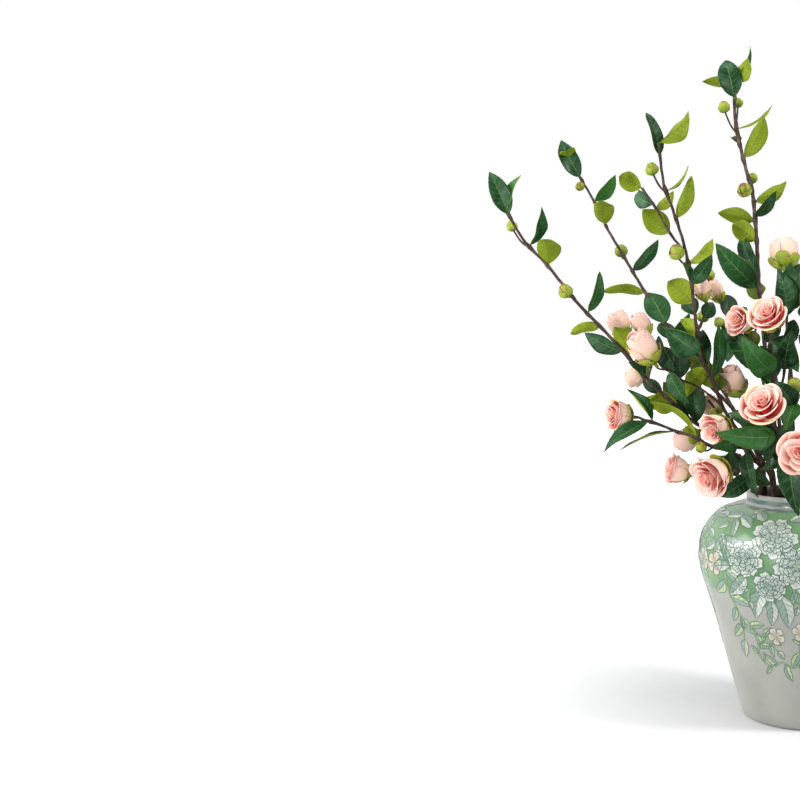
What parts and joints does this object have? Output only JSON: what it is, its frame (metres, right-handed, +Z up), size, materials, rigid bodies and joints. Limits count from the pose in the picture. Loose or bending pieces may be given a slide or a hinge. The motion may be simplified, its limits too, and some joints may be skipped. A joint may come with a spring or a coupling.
{
  "type": "rose arrangement in vase",
  "caption": "Tall bouquet of budded and flowering rose branches with glossy leaves, standing in a green and white ginger-jar vase.",
  "frame": {"origin": "centre of the jar's flat foot, on the surface that it stands on", "axes": "+Z up along the jar's axis; -Y is the front; the low left branch runs toward -X"},
  "size_m": [0.7222, 0.4263, 0.877],
  "materials": {
    "glazed_jar": "gloss",
    "foliage": "satin",
    "petals": "matte"
  },
  "bodies": {
    "root": {"bloom_far_front_1": "petals", "bloom_far_front_west_1": "petals", "bloom_far_front_west_2": "petals", "bloom_far_front_west_3": "petals", "bloom_far_heart_1": "petals", "bloom_far_heart_2": "petals", "bloom_far_heart_3": "petals", "bloom_far_low_front_1": "petals", "bloom_far_low_front_2": "petals", "bloom_far_low_front_3": "petals", "bloom_far_low_west_1": "petals", "bloom_far_west_1": "petals", "bloom_far_west_2": "petals", "bloom_far_west_3": "petals", "bloom_near_front_1": "petals", "bloom_near_front_2": "petals", "bloom_near_front_west_1": "petals", "bloom_near_front_west_2": "petals", "bloom_near_front_west_3": "petals", "bloom_near_heart_1": "petals", "bloom_near_heart_2": "petals", "bloom_near_heart_3": "petals", "bloom_near_heart_4": "petals", "bloom_near_heart_5": "petals", "bloom_near_low_front_1": "petals", "bloom_near_low_front_2": "petals", "bloom_near_low_front_3": "petals", "bloom_near_low_west_1": "petals", "bloom_near_west_1": "petals", "bloom_near_west_2": "petals", "bloom_near_west_3": "petals", "bloom_near_west_4": "petals", "spray_far_front": "foliage", "spray_far_front_west": "foliage", "spray_far_heart": "foliage", "spray_far_low_front": "foliage", "spray_far_low_west": "foliage", "spray_far_north": "foliage", "spray_far_north_west": "foliage", "spray_far_west": "foliage", "spray_near_front": "foliage", "spray_near_front_west": "foliage", "spray_near_heart": "foliage", "spray_near_low_front": "foliage", "spray_near_low_west": "foliage", "spray_near_north": "foliage", "spray_near_north_west": "foliage", "spray_near_west": "foliage", "vase": "glazed_jar"}
  },
  "joints": []
}
